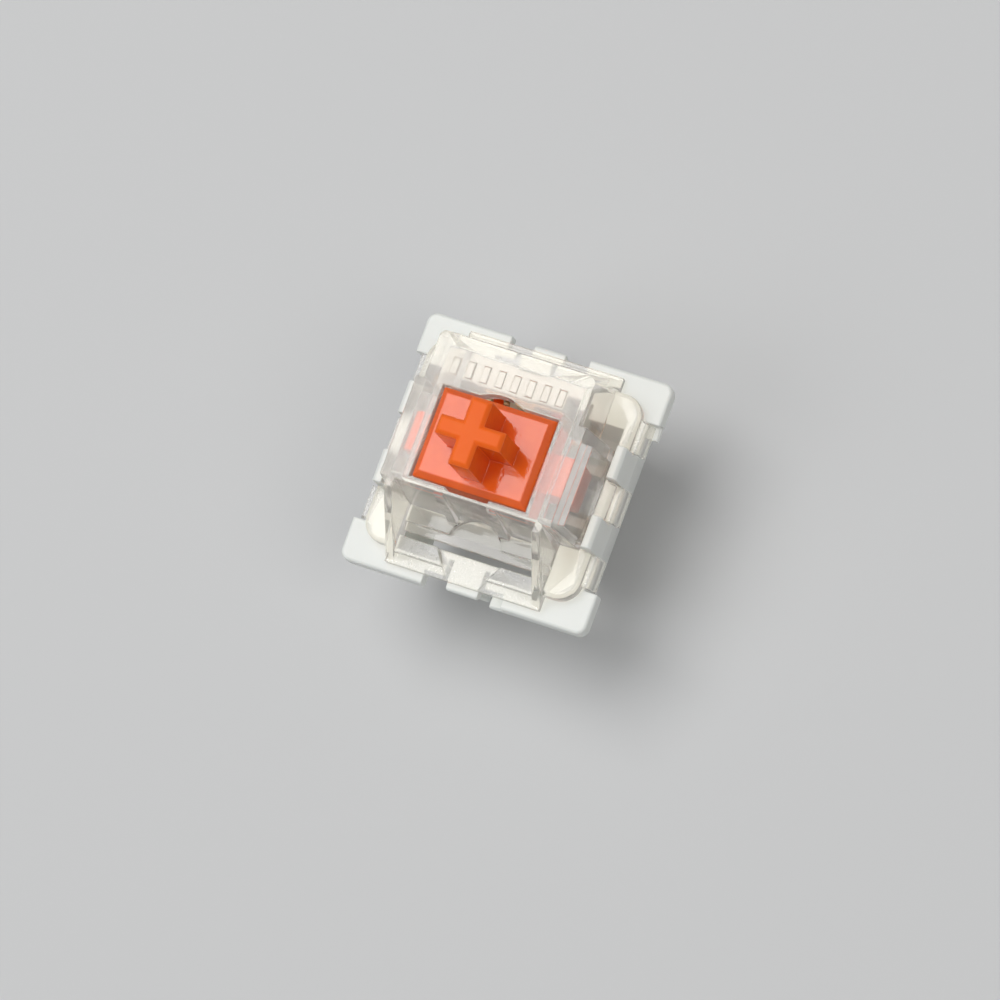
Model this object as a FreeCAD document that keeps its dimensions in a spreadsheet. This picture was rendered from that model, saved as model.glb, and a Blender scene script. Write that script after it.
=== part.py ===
"""Mechanical keyboard switch: clear upper housing, white lower housing, sliding stem, return spring and contacts.

Millimetres. +Z points at the keycap, the two solder pins are on the +Y side and the lamp slot on the -Y side.
The origin is on the axis of the central boss, in the plane where the switch meets the circuit board.
"""
import FreeCAD
import Part
import math
import os
import re
import Sketcher

OUT = "parts"
doc = FreeCAD.newDocument("KeySwitch")
sheet = doc.addObject("Spreadsheet::Sheet", "Sizes")

# Driving sizes, in millimetres and degrees: alias, value, what it is
SIZES = [
    # levels above the circuit board
    ("plate_level", 5.0, "underside of the flange, where it meets the mounting plate"),
    ("flange_depth", 1.0, "thickness of the flange"),
    ("floor_depth", 1.2, "thickness of the lower housing's floor"),
    ("top_level", 11.6, "top face of the upper housing"),
    ("seat_gap", 0.02, "gap between faces that rest on each other"),
    # lower housing
    ("flange_size", 15.6, "side of the square flange"),
    ("flange_round", 0.6, "corner radius of the flange"),
    ("body_inset", 0.85, "from the flange's edge to the body's side"),
    ("foot_inset", 1.0, "how far the body tapers in at the circuit board, each side"),
    ("body_round", 0.7, "corner radius of the body"),
    ("end_corner", 5.3, "length of the flange corners along the front and rear"),
    ("side_corner", 2.55, "length of the flange corners along the left and right"),
    ("step_depth", 0.45, "thickness of the flange's lower step"),
    ("step_reach", 0.8, "how far the step runs past a flange corner"),
    ("well_side", 0.8, "from the wings' ends to the well's side walls"),
    ("well_play", 0.2, "gap in front of the slider in the well"),
    ("slot_inset", 0.4, "from the spine's side to the end of the lamp slot"),
    ("slot_depth", 2.0, "depth of the lamp slot, from front to rear"),
    ("slot_wall", 0.65, "wall between the well and the lamp slot"),
    ("relief_wall", 0.65, "wall in front of the reliefs beside the front clip"),
    ("relief_floor", 3.0, "bottom of those reliefs"),
    ("boss_width", 3.9, "diameter of the central boss"),
    ("boss_length", 3.3, "length of the central boss below the body"),
    ("boss_chamfer", 0.4, "chamfer at the boss's tip"),
    ("boss_floor", 0.7, "thickness of the boss's closed end"),
    ("tube_play", 0.08, "gap between the guide tube and the spring"),
    ("tube_height", 2.4, "height of the guide tube above the floor"),
    ("rib_width", 0.6, "thickness of the ribs that guide the stem's wings"),
    ("tongue_width", 2.0, "width of the plate clips at the front and rear"),
    ("tongue_reach", 0.72, "how far the plate clips stand out of the body"),
    ("tongue_depth", 0.75, "height of the plate clip's finger"),
    ("tongue_slit", 0.3, "slits beside the plate clips"),
    ("tongue_wall", 0.7, "thickness of the flexing tongue"),
    ("tongue_root", 3.0, "bottom of the slits beside the plate clips"),
    ("barb_reach", 0.3, "how far the plate clip's barb stands out"),
    ("barb_level", 3.4, "top of the barb, below a 1.5 mm plate"),
    ("hook_width", 2.0, "width of the latch hooks"),
    ("hook_centre", 2.15, "centre of each latch hook, from the axis"),
    ("hook_play", 0.06, "gap round the hooks in the upper housing"),
    ("hook_wall", 0.6, "thickness of the latch hooks"),
    ("hook_nose", 0.2, "how far the hooks' noses reach inwards"),
    ("hook_level", 7.9, "top of the latch hooks"),
    # upper housing
    ("crown_side", 0.25, "from the wings' ends to the edge of the wide top face"),
    ("crown_front", 0.5, "from the slider to the front edge of the top face"),
    ("crown_back", 0.15, "from the slider's rear to the rear end of the wide middle"),
    ("waist_side", 1.0, "from the wings' ends to the foot of the wide middle"),
    ("spine_side", 1.35, "from the slider to the side of the narrower spine"),
    ("rear_lean", 1.05, "how far the rear wall leans in"),
    ("rear_foot", 0.15, "how far the rear wall's foot stands out of the body"),
    ("rear_round", 0.4, "rounding of the rear wall's corners"),
    ("cheek_top", 0.55, "how far the cheeks stand out in front at the top face"),
    ("cheek_foot", 0.1, "how far the cheeks' feet stand out of the body"),
    ("cheek_wall", 0.5, "thickness of the cheeks"),
    ("front_lean", 0.45, "how far the front wall leans out"),
    ("lip_side_inset", 0.15, "from the body's side to the lip's side"),
    ("lip_end_inset", 0.6, "from the body's front to the lip's front"),
    ("rim_inset", 0.35, "from the body's front to the rim in front of the lamp window"),
    ("lip_round", 1.3, "corner radius of the lip"),
    ("lip_depth", 0.95, "thickness of the lip"),
    ("lip_edge", 0.3, "rounding of the lip's upper edge"),
    ("apron_reach", 0.3, "how far the front and rear aprons stand out of the body"),
    ("apron_depth", 0.5, "thickness of the aprons and side plates"),
    ("skirt_inset", 0.3, "from the flange's edge to the side skirts"),
    ("skirt_play", 0.1, "gap between the skirts and the lower housing"),
    ("skirt_wall", 0.3, "thickness of the side skirts"),
    ("skirt_lean", 0.35, "how far the side skirts lean in"),
    ("roof_depth", 1.1, "thickness of the top wall"),
    ("shell_wall", 0.6, "thickness of the side walls"),
    ("rear_wall", 0.7, "thickness of the rear wall"),
    ("shelf_reach", 1.06, "how far the clear shelf reaches over the lamp slot"),
    ("window_depth", 0.92, "depth of the lamp window, from front to rear"),
    ("window_inset", 0.1, "from the end of the lamp slot to the end of the window"),
    ("lamp_radius", 1.7, "radius of the lamp's relief in the shelf"),
    ("lamp_offset", 0.42, "from the shelf's edge to the lamp's centre"),
    ("lamp_level", 0.4, "floor left under the lamp's relief"),
    ("lamp_height", 1.9, "height of that relief"),
    ("rib_half", 0.3, "half the width of the two ribs on the front wall"),
    ("rib_offset", 1.65, "centre of each rib, from the axis"),
    ("arch_width", 2.7, "width of the arch behind the stem's opening"),
    ("arch_depth", 0.35, "depth of that arch"),
    ("notch_depth", 0.2, "depth of the notch in front of the stem's opening"),
    ("bar_pitch", 0.95, "pitch of the raised bars on the top face"),
    ("bar_side", 0.45, "width of each raised bar"),
    ("bar_rise", 0.12, "how far the bars stand up"),
    ("bar_reach", 1.0, "length of the raised bars, from front to rear"),
    ("bar_inset", 1.35, "from the raised bars to the rear edge of the top face"),
    # stem
    ("stem_width", 7.1, "width of the stem's slider"),
    ("stem_depth", 5.5, "depth of the stem's slider"),
    ("stem_level", 11.75, "top face of the slider with the key up"),
    ("stem_height", 5.25, "height of the slider"),
    ("stem_roof", 1.1, "thickness of the slider's top"),
    ("stem_wall", 0.6, "wall of the slider"),
    ("stem_chamfer", 0.35, "chamfer round the slider's top"),
    ("stem_play", 0.1, "gap round the slider in the top wall"),
    ("wing_width", 2.4, "depth of the wings, from front to rear"),
    ("wing_span", 10.2, "width over the wings"),
    ("wing_level", 9.5, "top of the wings with the key up"),
    ("wing_play", 0.05, "gap between the wings and their stops"),
    ("cross_span", 4.1, "length of the cross's arms"),
    ("cross_arm_side", 1.17, "thickness of the cross's side arms"),
    ("cross_arm_front", 1.31, "thickness of the cross's front and rear arms"),
    ("cross_level", 15.2, "top of the cross"),
    ("cross_chamfer", 0.22, "chamfer round the cross's top"),
    ("pole_width", 1.9, "diameter of the pole inside the spring"),
    ("pole_level", 1.9, "lower end of the pole with the key up"),
    ("leg_width", 0.9, "width of the legs that work the contact"),
    ("leg_centre", 1.9, "centre of each leg, from the axis"),
    ("leg_stand", 0.5, "how far the legs stand out of the slider's rear at the leaf's noses"),
    ("leg_level", 5.3, "lower end of the legs with the key up"),
    ("leg_sink", 0.45, "how far the legs reach into the slider's rear wall"),
    ("leg_top", 10.4, "upper end of the legs with the key up"),
    ("leg_fall", 0.237, "how far the legs' ramps recede over the travel"),
    ("travel", 4.0, "travel of the key"),
    # spring
    ("wire_width", 0.24, "diameter of the spring's wire"),
    ("coil_play", 0.13, "gap between the spring and the slider's walls"),
    ("coil_turns", 9.0, "open turns of the spring"),
    ("coil_pitch", 0.27, "pitch of the closed turn at each end"),
    # contacts
    ("sheet_depth", 0.3, "thickness of the terminals' sheet"),
    ("pin_width", 1.0, "width of the solder pins"),
    ("pin_tip", 0.5, "width of the pins at their tips"),
    ("pin_taper", 0.9, "length of the pins' tapered tips"),
    ("pin_length", 3.3, "length of the solder pins below the body"),
    ("pin_play", 0.06, "gap round the pins in the floor"),
    ("fixed_pin_x", 2.54, "fixed terminal's pin, to the right of the axis"),
    ("fixed_pin_y", 5.08, "fixed terminal's pin, behind the axis"),
    ("moving_pin_x", 3.81, "moving terminal's pin, to the left of the axis"),
    ("moving_pin_y", 2.54, "moving terminal's pin, behind the axis"),
    ("blade_width", 1.5, "width of the fixed blade"),
    ("blade_gap", 0.25, "gap between the slider and the fixed blade"),
    ("blade_level", 7.3, "top of the fixed blade"),
    ("bar_level", 6.4, "centre of the contact bars"),
    ("bar_length", 1.1, "length of the contact bars"),
    ("bar_height", 0.45, "height of the contact bars"),
    ("bar_depth", 0.16, "thickness of the contact bars"),
    ("contact_gap", 0.3, "gap between the contact bars with the key up"),
    ("leaf_depth", 0.1, "thickness of the spring leaf"),
    ("leaf_width", 5.0, "width of the spring leaf"),
    ("leaf_level", 7.2, "top of the spring leaf"),
    ("leaf_root", 1.8, "bottom of the spring leaf"),
    ("leaf_play", 0.04, "gap between the leaf's noses and the stem's legs"),
    ("nose_level", 5.7, "height of the leaf's noses"),
    ("nose_width", 0.8, "width of the leaf's noses"),
    ("nose_half", 0.8, "half the height of the leaf's noses"),
    ("anchor_level", 3.6, "top of the moving terminal's upright"),
    ("anchor_end", 0.9, "right end of that upright, left of the axis"),
]
ALIASES = {alias for alias, _, _ in SIZES}
for row, (alias, size, note) in enumerate(SIZES, 1):
    sheet.set(f"A{row}", note)
    sheet.set(f"B{row}", str(size))
    sheet.setAlias(f"B{row}", alias)
doc.recompute()


def size(alias):
    """A driving size as a number."""
    return float(sheet.get(alias))


def bound(text):
    """An expression in which each alias names its cell."""
    return re.sub(r"[a-z_]+", lambda m: f"Sizes.{m[0]}" if m[0] in ALIASES else m[0], text)


# Places worked out from the driving sizes, each measured from the axis or from the circuit board
SEAT = "(plate_level + flange_depth + seat_gap)"
SHELF = f"({SEAT} + lip_depth)"
BODY = "(flange_size / 2 - body_inset)"
FOOT = f"({BODY} - foot_inset)"
SKIRT = "(flange_size / 2 - skirt_inset)"
WELL_SIDE = "(wing_span / 2 + well_side)"
WELL_FRONT = "(stem_depth / 2 + well_play)"
SLOT_REAR = f"({WELL_FRONT} + slot_wall)"
SLOT_FRONT = f"({SLOT_REAR} + slot_depth)"
SPINE = "(stem_width / 2 + spine_side)"
SLOT_END = f"({SPINE} - slot_inset)"
CROWN = "(wing_span / 2 + crown_side)"
WAIST = "(wing_span / 2 + waist_side)"
CROWN_FRONT = "(stem_depth / 2 + crown_front)"
CROWN_BACK = "(stem_depth / 2 + crown_back)"
CROWN_REAR = f"({BODY} - rear_lean)"
FRONT_FOOT = f"({CROWN_FRONT} + front_lean)"
LIP_SIDE = f"({BODY} - lip_side_inset)"
LIP_END = f"({BODY} - lip_end_inset)"
RIM_END = f"({BODY} - rim_inset)"
APRON = f"({BODY} + apron_reach)"
WINDOW_REAR = f"({SLOT_REAR} + shelf_reach)"
WINDOW_FRONT = f"({WINDOW_REAR} + window_depth)"
COIL = "(stem_depth / 2 - stem_wall - coil_play - wire_width / 2)"
TUBE = f"({COIL} - wire_width / 2 - tube_play)"
LEG_REAR = "(stem_depth / 2 + leg_stand)"
BLADE_FRONT = "(stem_depth / 2 + blade_gap)"
BLADE_REAR = f"({BLADE_FRONT} + sheet_depth)"
LEAF = f"({BLADE_REAR} + seat_gap + 2 * bar_depth + contact_gap)"
ANCHOR = f"({LEAF} + leaf_depth + seat_gap)"
WELL_REAR = f"({ANCHOR} + sheet_depth + 2 * seat_gap)"


def body(name):
    """An empty body whose label names the sub-part's file."""
    made = doc.addObject("PartDesign::Body", name)
    made.Label = name
    return made


def sketch_on(owner, name, plane, lift):
    """An empty sketch on one of the body's own planes, lifted along that plane's normal."""
    made = owner.newObject("Sketcher::SketchObject", name)
    origin = next(o for o in owner.Origin.OriginFeatures if o.Role == plane)
    made.AttachmentSupport = [(origin, "")]
    made.MapMode = "FlatFace"
    made.setExpression("AttachmentOffset.Base.z", bound(lift))
    return made


def hold_point(made, geometry, point, x, y):
    """Holds a point of a sketch at two expressions."""
    for axis, text in (("DistanceX", x), ("DistanceY", y)):
        index = made.addConstraint(Sketcher.Constraint(axis, -1, 1, geometry, point, 1.0))
        made.setExpression(f"Constraints[{index}]", bound(text))


def outline(owner, name, plane, corners, lift="0"):
    """A sketch with one closed outline of straight sides through corners given as pairs of expressions."""
    made = sketch_on(owner, name, plane, lift)
    count = len(corners)
    ring = [FreeCAD.Vector(math.cos(2 * math.pi * i / count), math.sin(2 * math.pi * i / count), 0)
            for i in range(count)]
    for i in range(count):
        made.addGeometry(Part.LineSegment(ring[i], ring[(i + 1) % count]), False)
    for i in range(count):
        made.addConstraint(Sketcher.Constraint("Coincident", i, 2, (i + 1) % count, 1))
    for i, (x, y) in enumerate(corners):
        hold_point(made, i, 1, x, y)
    return made


def box_outline(owner, name, plane, x0, x1, y0, y1, lift="0"):
    """A sketch with one rectangle."""
    return outline(owner, name, plane, [(x0, y0), (x1, y0), (x1, y1), (x0, y1)], lift)


def circle(owner, name, plane, x, y, radius, lift="0"):
    """A sketch with one circle."""
    made = sketch_on(owner, name, plane, lift)
    made.addGeometry(Part.Circle(FreeCAD.Vector(0, 0, 0), FreeCAD.Vector(0, 0, 1), 1.0), False)
    hold_point(made, 0, 3, x, y)
    index = made.addConstraint(Sketcher.Constraint("Radius", 0, 1.0))
    made.setExpression(f"Constraints[{index}]", bound(radius))
    return made


def feature(kind, profile, length, reverse=False, middle=False, taper=None):
    """A pad or pocket of a sketch, along the sketch's normal, or against it, or to both sides."""
    owner = profile.getParentGeoFeatureGroup()
    made = owner.newObject(f"PartDesign::{kind}", profile.Name + kind)
    made.Profile = profile
    made.Midplane = middle
    made.Reversed = reverse
    made.setExpression("Length", bound(length))
    if taper:
        made.setExpression("TaperAngle", bound(taper))
    profile.Visibility = False
    doc.recompute()
    return made


def pad(profile, length, **how):
    """Adds the sketch's area, carried along its normal."""
    return feature("Pad", profile, length, **how)


def pocket(profile, length, **how):
    """Cuts the sketch's area, carried against its normal, and makes sure that something was cut."""
    owner = profile.getParentGeoFeatureGroup()
    before = owner.Shape.Volume
    made = feature("Pocket", profile, length, **how)
    if owner.Shape.Volume > before - 1e-6:
        raise RuntimeError(f"{made.Name} cuts nothing")
    return made


def edges_where(shape, test):
    """Names of a shape's edges whose midpoint and direction pass a test."""
    found = []
    for index, edge in enumerate(shape.Edges, 1):
        middle = edge.valueAt((edge.FirstParameter + edge.LastParameter) / 2)
        if test(edge, middle):
            found.append(f"Edge{index}")
    return found


def upright(edge):
    """True for an edge that runs straight and mostly up."""
    ends = [v.Point for v in edge.Vertexes]
    if len(ends) < 2:
        return False
    along = ends[1] - ends[0]
    return abs(along.z) > 0.6 * edge.Length


def at(value, target, slack=1e-4):
    """True where two lengths are the same."""
    return abs(value - target) < slack


def dress(owner, kind, name, radius, test):
    """Fillets or chamfers the edges that pass a test."""
    base = owner.Tip
    names = edges_where(base.Shape, test)
    if not names:
        raise RuntimeError(f"{name} finds no edge")
    made = owner.newObject(f"PartDesign::{kind}", name)
    made.Base = (base, names)
    made.setExpression("Radius" if kind == "Fillet" else "Size", bound(radius))
    doc.recompute()
    return made


def lower_housing():
    """White lower housing: body, stepped flange, well, lamp slot, boss, guide tube, plate clips and latch hooks."""
    part = body("lower_housing")
    top = "(plate_level + flange_depth)"
    pad(box_outline(part, "LowerFoot", "XY_Plane", f"-{FOOT}", FOOT, f"-{FOOT}", FOOT), "plate_level",
        taper="atan(foot_inset / plate_level)")
    dress(part, "Fillet", "LowerCorners", "body_round", lambda edge, middle: upright(edge))
    flange(part)
    reach = size("flange_size") / 2
    corners = lambda edge, m: upright(edge) and at(abs(m.x), reach) and at(abs(m.y), reach)
    dress(part, "Fillet", "FlangeCorners", "flange_round", corners)
    boss(part)
    well = box_outline(part, "Well", "XY_Plane", f"-{WELL_SIDE}", WELL_SIDE, f"-{WELL_FRONT}", WELL_REAR, top)
    pocket(well, f"{top} - floor_depth")
    slot = box_outline(part, "Slot", "XY_Plane", f"-{SLOT_END}", SLOT_END, f"-{SLOT_FRONT}", f"-{SLOT_REAR}", top)
    pocket(slot, top)
    guide_tube(part)
    wing_ribs(part)
    terminal_seats(part)
    for side, name in ((1, "Rear"), (-1, "Front")):
        plate_clip(part, side, name)
    for x_side in (1, -1):
        for y_side in (1, -1):
            latch_hook(part, x_side, y_side)
    return part


def flange(part):
    """Flange: a square with a gap in the middle of each side, and a low step at two of its corners."""
    outer, inner = "(flange_size / 2)", BODY
    end, side = "(flange_size / 2 - end_corner)", "(flange_size / 2 - side_corner)"
    corner = [(outer, side), (outer, outer), (end, outer), (end, inner)]
    ring = [(inner, side)] + corner
    ring += [(f"-{x}", y) for x, y in reversed(corner)] + [(f"-{inner}", side)]
    lower = [(x, f"-{y}") for x, y in reversed(ring)]
    pad(outline(part, "Flange", "XY_Plane", ring + lower, "plate_level"), "flange_depth")
    steps = (("SideStep", f"{inner} - body_inset", outer, f"{side} - step_reach", f"{side} + step_reach"),
             ("FrontStep", f"{end} - step_reach", f"{end} + step_reach", f"-{outer}", f"-{inner} + body_inset"))
    for name, x0, x1, y0, y1 in steps:
        pad(box_outline(part, name, "XY_Plane", x0, x1, y0, y1, "plate_level"), "step_depth")


def boss(part):
    """Central boss that centres the switch in the board, with a chamfered tip."""
    round_boss = circle(part, "Boss", "XY_Plane", "0", "0", "boss_width / 2")
    pad(round_boss, "boss_length", reverse=True)
    tip = -size("boss_length")
    dress(part, "Chamfer", "BossTip", "boss_chamfer", lambda edge, m: at(m.z, tip))


def guide_tube(part):
    """Tube that stands on the floor inside the spring, with a blind bore for the stem's pole."""
    pad(circle(part, "Tube", "XY_Plane", "0", "0", TUBE, "floor_depth"), "tube_height")
    bore = circle(part, "Bore", "XY_Plane", "0", "0", "pole_width / 2 + stem_play", "floor_depth + tube_height")
    pocket(bore, "floor_depth + tube_height + boss_length - boss_floor")
    mouth = size("floor_depth") + size("tube_height")
    inner = size("pole_width") / 2 + size("stem_play")
    rim = lambda edge, m: at(m.z, mouth) and at(math.hypot(edge.Vertexes[0].X, edge.Vertexes[0].Y), inner)
    dress(part, "Chamfer", "BoreMouth", "pole_width / 8", rim)


def wing_ribs(part):
    """Four ribs that keep the stem's wings in line."""
    inner, outer = "(stem_width / 2 + 2 * stem_play)", WELL_SIDE
    near, far = "(wing_width / 2 + stem_play)", "(wing_width / 2 + stem_play + rib_width)"
    for x_sign in ("", "-"):
        for y_sign in ("", "-"):
            name = "Rib" + ("Left" if x_sign else "Right") + ("Front" if y_sign else "Rear")
            rib = box_outline(part, name, "XY_Plane", f"{x_sign}{inner}", f"{x_sign}{outer}",
                              f"{y_sign}{near}", f"{y_sign}{far}", "floor_depth")
            pad(rib, "plate_level + flange_depth - floor_depth")


def terminal_seats(part):
    """Pocket behind the well for the fixed terminal's foot, and the holes for both pins."""
    far = "(fixed_pin_y + sheet_depth / 2 + pin_play)"
    seat = box_outline(part, "FixedSeat", "XY_Plane", "fixed_pin_x - pin_width / 2 - pin_play",
                       "fixed_pin_x + pin_width / 2 + pin_play", f"{WELL_REAR} - pin_play", far,
                       "plate_level + flange_depth")
    pocket(seat, "plate_level + flange_depth - floor_depth")
    for name, x, y in (("FixedHole", "fixed_pin_x", "fixed_pin_y"), ("MovingHole", "-moving_pin_x", "moving_pin_y")):
        hole = box_outline(part, name, "XY_Plane", f"{x} - pin_width / 2 - pin_play", f"{x} + pin_width / 2 + pin_play",
                           f"{y} - sheet_depth / 2 - pin_play", f"{y} + sheet_depth / 2 + pin_play", "floor_depth")
        pocket(hole, "floor_depth")


def plate_clip(part, side, name):
    """Flexing tongue between two slits, with a barb under the plate and a finger level with the flange."""
    sign = "" if side > 0 else "-"
    wall = BODY
    top = "(plate_level + flange_depth)"
    for x_sign in ("", "-"):
        slit = box_outline(part, f"{name}Slit{'Left' if x_sign else 'Right'}", "XY_Plane",
                           f"{x_sign}(tongue_width / 2)", f"{x_sign}(tongue_width / 2 + tongue_slit)",
                           f"{sign}({wall} - tongue_wall - tongue_slit)", f"{sign}({wall} + tongue_slit)", top)
        pocket(slit, f"{top} - tongue_root")
        if side < 0:
            relief = outline(part, f"{name}Relief{'Left' if x_sign else 'Right'}", "XY_Plane",
                             [(f"{x_sign}tongue_width", f"-{SLOT_FRONT} + seat_gap"),
                              (f"{x_sign}{SLOT_END}", f"-{SLOT_FRONT} + seat_gap"),
                              (f"{x_sign}{SLOT_END}", f"-{BODY} + relief_wall"),
                              (f"{x_sign}(tongue_width * 0.6)", f"-{BODY} + relief_wall")], top)
            pocket(relief, f"{top} - relief_floor")
    if side > 0:
        behind = box_outline(part, f"{name}Behind", "XY_Plane", "-tongue_width / 2", "tongue_width / 2",
                             f"{wall} - tongue_wall - tongue_slit", f"{wall} - tongue_wall", top)
        pocket(behind, f"{top} - tongue_root")
    profile = [(f"{sign}({wall} - tongue_wall / 2)", f"{top} - tongue_depth"),
               (f"{sign}({wall} + tongue_reach - tongue_depth / 4)", f"{top} - tongue_depth"),
               (f"{sign}({wall} + tongue_reach)", f"{top} - tongue_depth / 2"),
               (f"{sign}({wall} + tongue_reach)", top),
               (f"{sign}({wall} - tongue_wall / 2)", top)]
    pad(outline(part, f"{name}Finger", "YZ_Plane", profile), "tongue_width", middle=True)
    barb = [(f"{sign}({wall} - tongue_wall * 0.9)", "barb_level"),
            (f"{sign}({wall} + barb_reach / 2)", "barb_level"),
            (f"{sign}({wall} + barb_reach)", "barb_level - barb_reach / 2"),
            (f"{sign}({wall} - tongue_wall * 0.9)", "barb_level - 4 * barb_reach")]
    pad(outline(part, f"{name}Barb", "YZ_Plane", barb), "tongue_width", middle=True)


def latch_hook(part, x_side, y_side):
    """Hook that stands beside the upper housing and holds its lip down with a nose."""
    sign = "" if x_side > 0 else "-"
    name = "Hook" + ("Right" if x_side > 0 else "Left") + ("Rear" if y_side > 0 else "Front")
    outer, inner = BODY, f"({BODY} - hook_wall)"
    foot = "(plate_level + flange_depth / 2)"
    catch = f"({SHELF} + seat_gap)"
    profile = [(f"{sign}{inner}", foot), (f"{sign}{outer}", foot), (f"{sign}{outer}", "hook_level - hook_wall / 3"),
               (f"{sign}({outer} - hook_wall / 3)", "hook_level"), (f"{sign}{inner}", "hook_level"),
               (f"{sign}({inner} - hook_nose)", f"{catch} + hook_nose"), (f"{sign}({inner} - hook_nose)", catch),
               (f"{sign}{inner}", catch)]
    lift = "-hook_centre" if y_side > 0 else "hook_centre"
    pad(outline(part, name, "XZ_Plane", profile, lift), "hook_width", middle=True)


def upper_housing():
    """Clear upper housing: wide middle over the stem's wings, spine, cheeks, lip, aprons and skirts."""
    part = body("upper_housing")
    lip = box_outline(part, "Lip", "XY_Plane", f"-{LIP_SIDE}", LIP_SIDE, f"-{LIP_END}", LIP_END, SEAT)
    pad(lip, "lip_depth")
    dress(part, "Fillet", "LipCorners", "lip_round", lambda edge, m: upright(edge))
    shelf = size("plate_level") + size("flange_depth") + size("seat_gap") + size("lip_depth")
    dress(part, "Fillet", "LipEdge", "lip_edge", lambda edge, m: at(m.z, shelf))
    cheek_top, cheek_foot = f"-{CROWN_FRONT} - cheek_top", f"-{BODY} - cheek_foot"
    spine = [(cheek_top, "top_level"), (CROWN_REAR, "top_level"), (f"{BODY} + rear_foot", SEAT),
             (cheek_foot, SEAT), (cheek_foot, f"{SEAT} + apron_depth")]
    pad(outline(part, "Spine", "YZ_Plane", spine), f"2 * {SPINE}", middle=True)
    half = size("stem_width") / 2 + size("spine_side")
    leaning = lambda edge, m: m.y > 0 and at(abs(m.x), half) and upright(edge) and edge.Length > size("lip_depth") * 2
    dress(part, "Fillet", "RearCorners", "rear_round", leaning)
    middle = [(f"-{CROWN}", "top_level"), (CROWN, "top_level"), (WAIST, SHELF), (WAIST, SEAT),
              (f"-{WAIST}", SEAT), (f"-{WAIST}", SHELF)]
    pad(outline(part, "Middle", "XZ_Plane", middle, f"-{CROWN_BACK}"), f"{CROWN_BACK} + {CROWN_FRONT}")
    apron = box_outline(part, "Apron", "XY_Plane", f"-{SPINE}", SPINE, f"-{APRON}", APRON, SEAT)
    pad(apron, "apron_depth")
    lamp_recess(part)
    side_skirts(part)
    inside(part)
    stem_opening(part)
    raised_bars(part)
    return part


def raised_bars(part):
    """Row of plain raised bars behind the stem's opening."""
    count = 8
    first = f"-bar_pitch * {(count - 1) / 2}"
    bar = box_outline(part, "RaisedBar", "XY_Plane", f"{first} - bar_side / 2", f"{first} + bar_side / 2",
                      f"{CROWN_REAR} - bar_inset - bar_reach", f"{CROWN_REAR} - bar_inset", "top_level - bar_rise")
    first_bar = pad(bar, "2 * bar_rise")
    row = part.newObject("PartDesign::LinearPattern", "BarRow")
    row.Originals = [first_bar]
    row.Direction = (bar, ["H_Axis"])
    row.setExpression("Length", bound(f"bar_pitch * {count - 1}"))
    row.Occurrences = count
    part.Tip = row
    doc.recompute()


def lamp_recess(part):
    """Recess between the cheeks, with ribs on its wall, a shelf, the lamp window and the lamp's round relief."""
    between = f"2 * ({SPINE} - cheek_wall)"
    recess = [(f"-{CROWN_FRONT}", "top_level + lip_depth"), (f"-{CROWN_FRONT}", "top_level"),
              (f"-{FRONT_FOOT}", SHELF), (f"-{APRON} - lip_depth", SHELF),
              (f"-{APRON} - lip_depth", "top_level + lip_depth")]
    pocket(outline(part, "Recess", "YZ_Plane", recess), between, middle=True)
    ledge = [(f"-{RIM_END}", "top_level"), (f"-{RIM_END}", f"{SEAT} + apron_depth"),
             (f"-{APRON} - lip_depth", f"{SEAT} + apron_depth"), (f"-{APRON} - lip_depth", "top_level")]
    pocket(outline(part, "Ledge", "YZ_Plane", ledge), between, middle=True)
    for sign in ("", "-"):
        rib = [(f"-{CROWN_FRONT} + rib_half", "top_level"), (f"-{CROWN_FRONT}", "top_level"),
               (f"-{CROWN_FRONT} - rib_half / 2", "top_level - rib_half / 2"),
               (f"-{FRONT_FOOT} - rib_half", f"{SHELF} + rib_half / 2"), (f"-{FRONT_FOOT} - rib_half", f"{SHELF} - 0.1"),
               (f"-{FRONT_FOOT} + rib_half", f"{SHELF} - 0.1")]
        name = "WallRibLeft" if sign else "WallRibRight"
        pad(outline(part, name, "YZ_Plane", rib, f"{sign}rib_offset"), "2 * rib_half", middle=True)
    end = f"({SLOT_END} - window_inset)"
    window = box_outline(part, "Window", "XY_Plane", f"-{end}", end, f"-{WINDOW_FRONT}", f"-{WINDOW_REAR}",
                         f"{SHELF} + lip_depth")
    pocket(window, "2 * lip_depth + seat_gap")
    pocket(half_disc(part, "Relief", f"-{WINDOW_REAR} - lamp_offset", f"{SEAT} + lamp_level"), "lamp_height", reverse=True)
    notch = [("-tongue_width", f"-{WINDOW_FRONT} + seat_gap"), ("tongue_width", f"-{WINDOW_FRONT} + seat_gap"),
             ("tongue_width / 2", f"-{APRON} - seat_gap"), ("-tongue_width / 2", f"-{APRON} - seat_gap")]
    pocket(outline(part, "RimNotch", "XY_Plane", notch, f"{SHELF} + lip_depth"), "2 * lip_depth - lamp_level")


def half_disc(owner, name, y, lift):
    """A sketch with the lamp's half disc, round towards the stem."""
    made = sketch_on(owner, name, "XY_Plane", lift)
    whole = Part.Circle(FreeCAD.Vector(0, 0, 0), FreeCAD.Vector(0, 0, 1), 1.0)
    made.addGeometry(Part.ArcOfCircle(whole, 0, math.pi), False)
    made.addGeometry(Part.LineSegment(FreeCAD.Vector(-1, 0, 0), FreeCAD.Vector(1, 0, 0)), False)
    made.addConstraint(Sketcher.Constraint("Coincident", 0, 2, 1, 1))
    made.addConstraint(Sketcher.Constraint("Coincident", 1, 2, 0, 1))
    hold_point(made, 0, 3, "0", y)
    made.addConstraint(Sketcher.Constraint("PointOnObject", 0, 3, 1))
    made.addConstraint(Sketcher.Constraint("Horizontal", 1))
    index = made.addConstraint(Sketcher.Constraint("Radius", 0, 1.0))
    made.setExpression(f"Constraints[{index}]", bound("lamp_radius"))
    return made


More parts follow.
